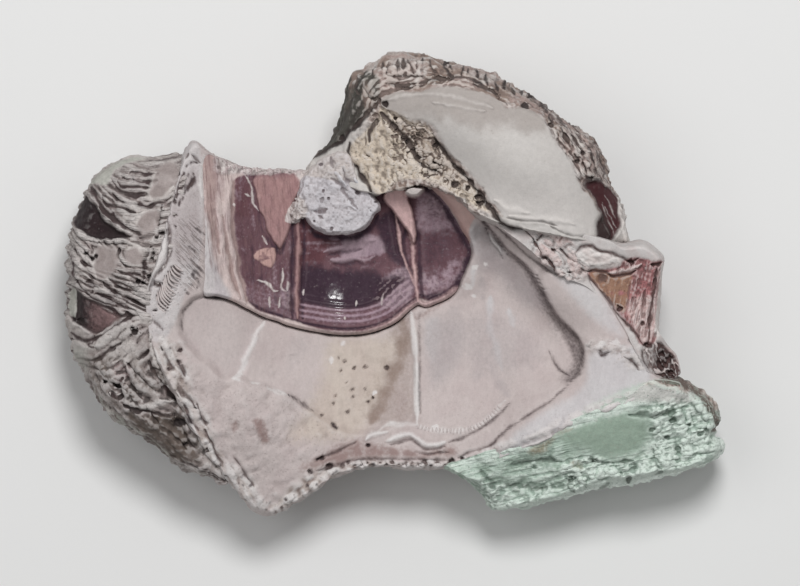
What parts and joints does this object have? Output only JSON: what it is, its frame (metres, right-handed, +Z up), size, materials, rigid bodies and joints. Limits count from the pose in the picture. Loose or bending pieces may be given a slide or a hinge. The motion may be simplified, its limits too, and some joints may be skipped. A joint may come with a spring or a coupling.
{
  "type": "fossil barnacle cluster",
  "caption": "Broken-open cluster of large fossil acorn barnacles, showing one shell from inside with its purple lining, a ribbed neighbour, a basal disc and a pale green crust.",
  "frame": {"origin": "centre of the bounding box at the surface the cluster lies on", "axes": "+Z up, out of the open side of the main shell; +X along the cluster's length towards the green crust; +Y towards the main shell's mouth"},
  "size_m": [0.1189, 0.0836, 0.04],
  "materials": {
    "shell_wall": "worn chalky shell, cream to pinkish grey, with a smooth dark purple lining round the mouth",
    "ribbed_wall": "weathered ribbed shell wall, grey white ribs with dark purple grooves and triangular bands",
    "basal_disc": "smooth pale basal disc with a porous cream broken wall and a dark ribbed rim",
    "pink_wall": "broken shell wall with a white rim and a pinkish brown striated inner face",
    "green_crust": "crumbly layered calcareous crust, pale mint green with whitish edges",
    "chalk": "matt chalky white lump"
  },
  "bodies": {
    "root": {"main_shell": "shell_wall", "left_shell": "ribbed_wall", "upper_shell": "basal_disc", "right_shell": "pink_wall", "green_crust": "green_crust", "chalk_lump": "chalk"}
  },
  "joints": []
}
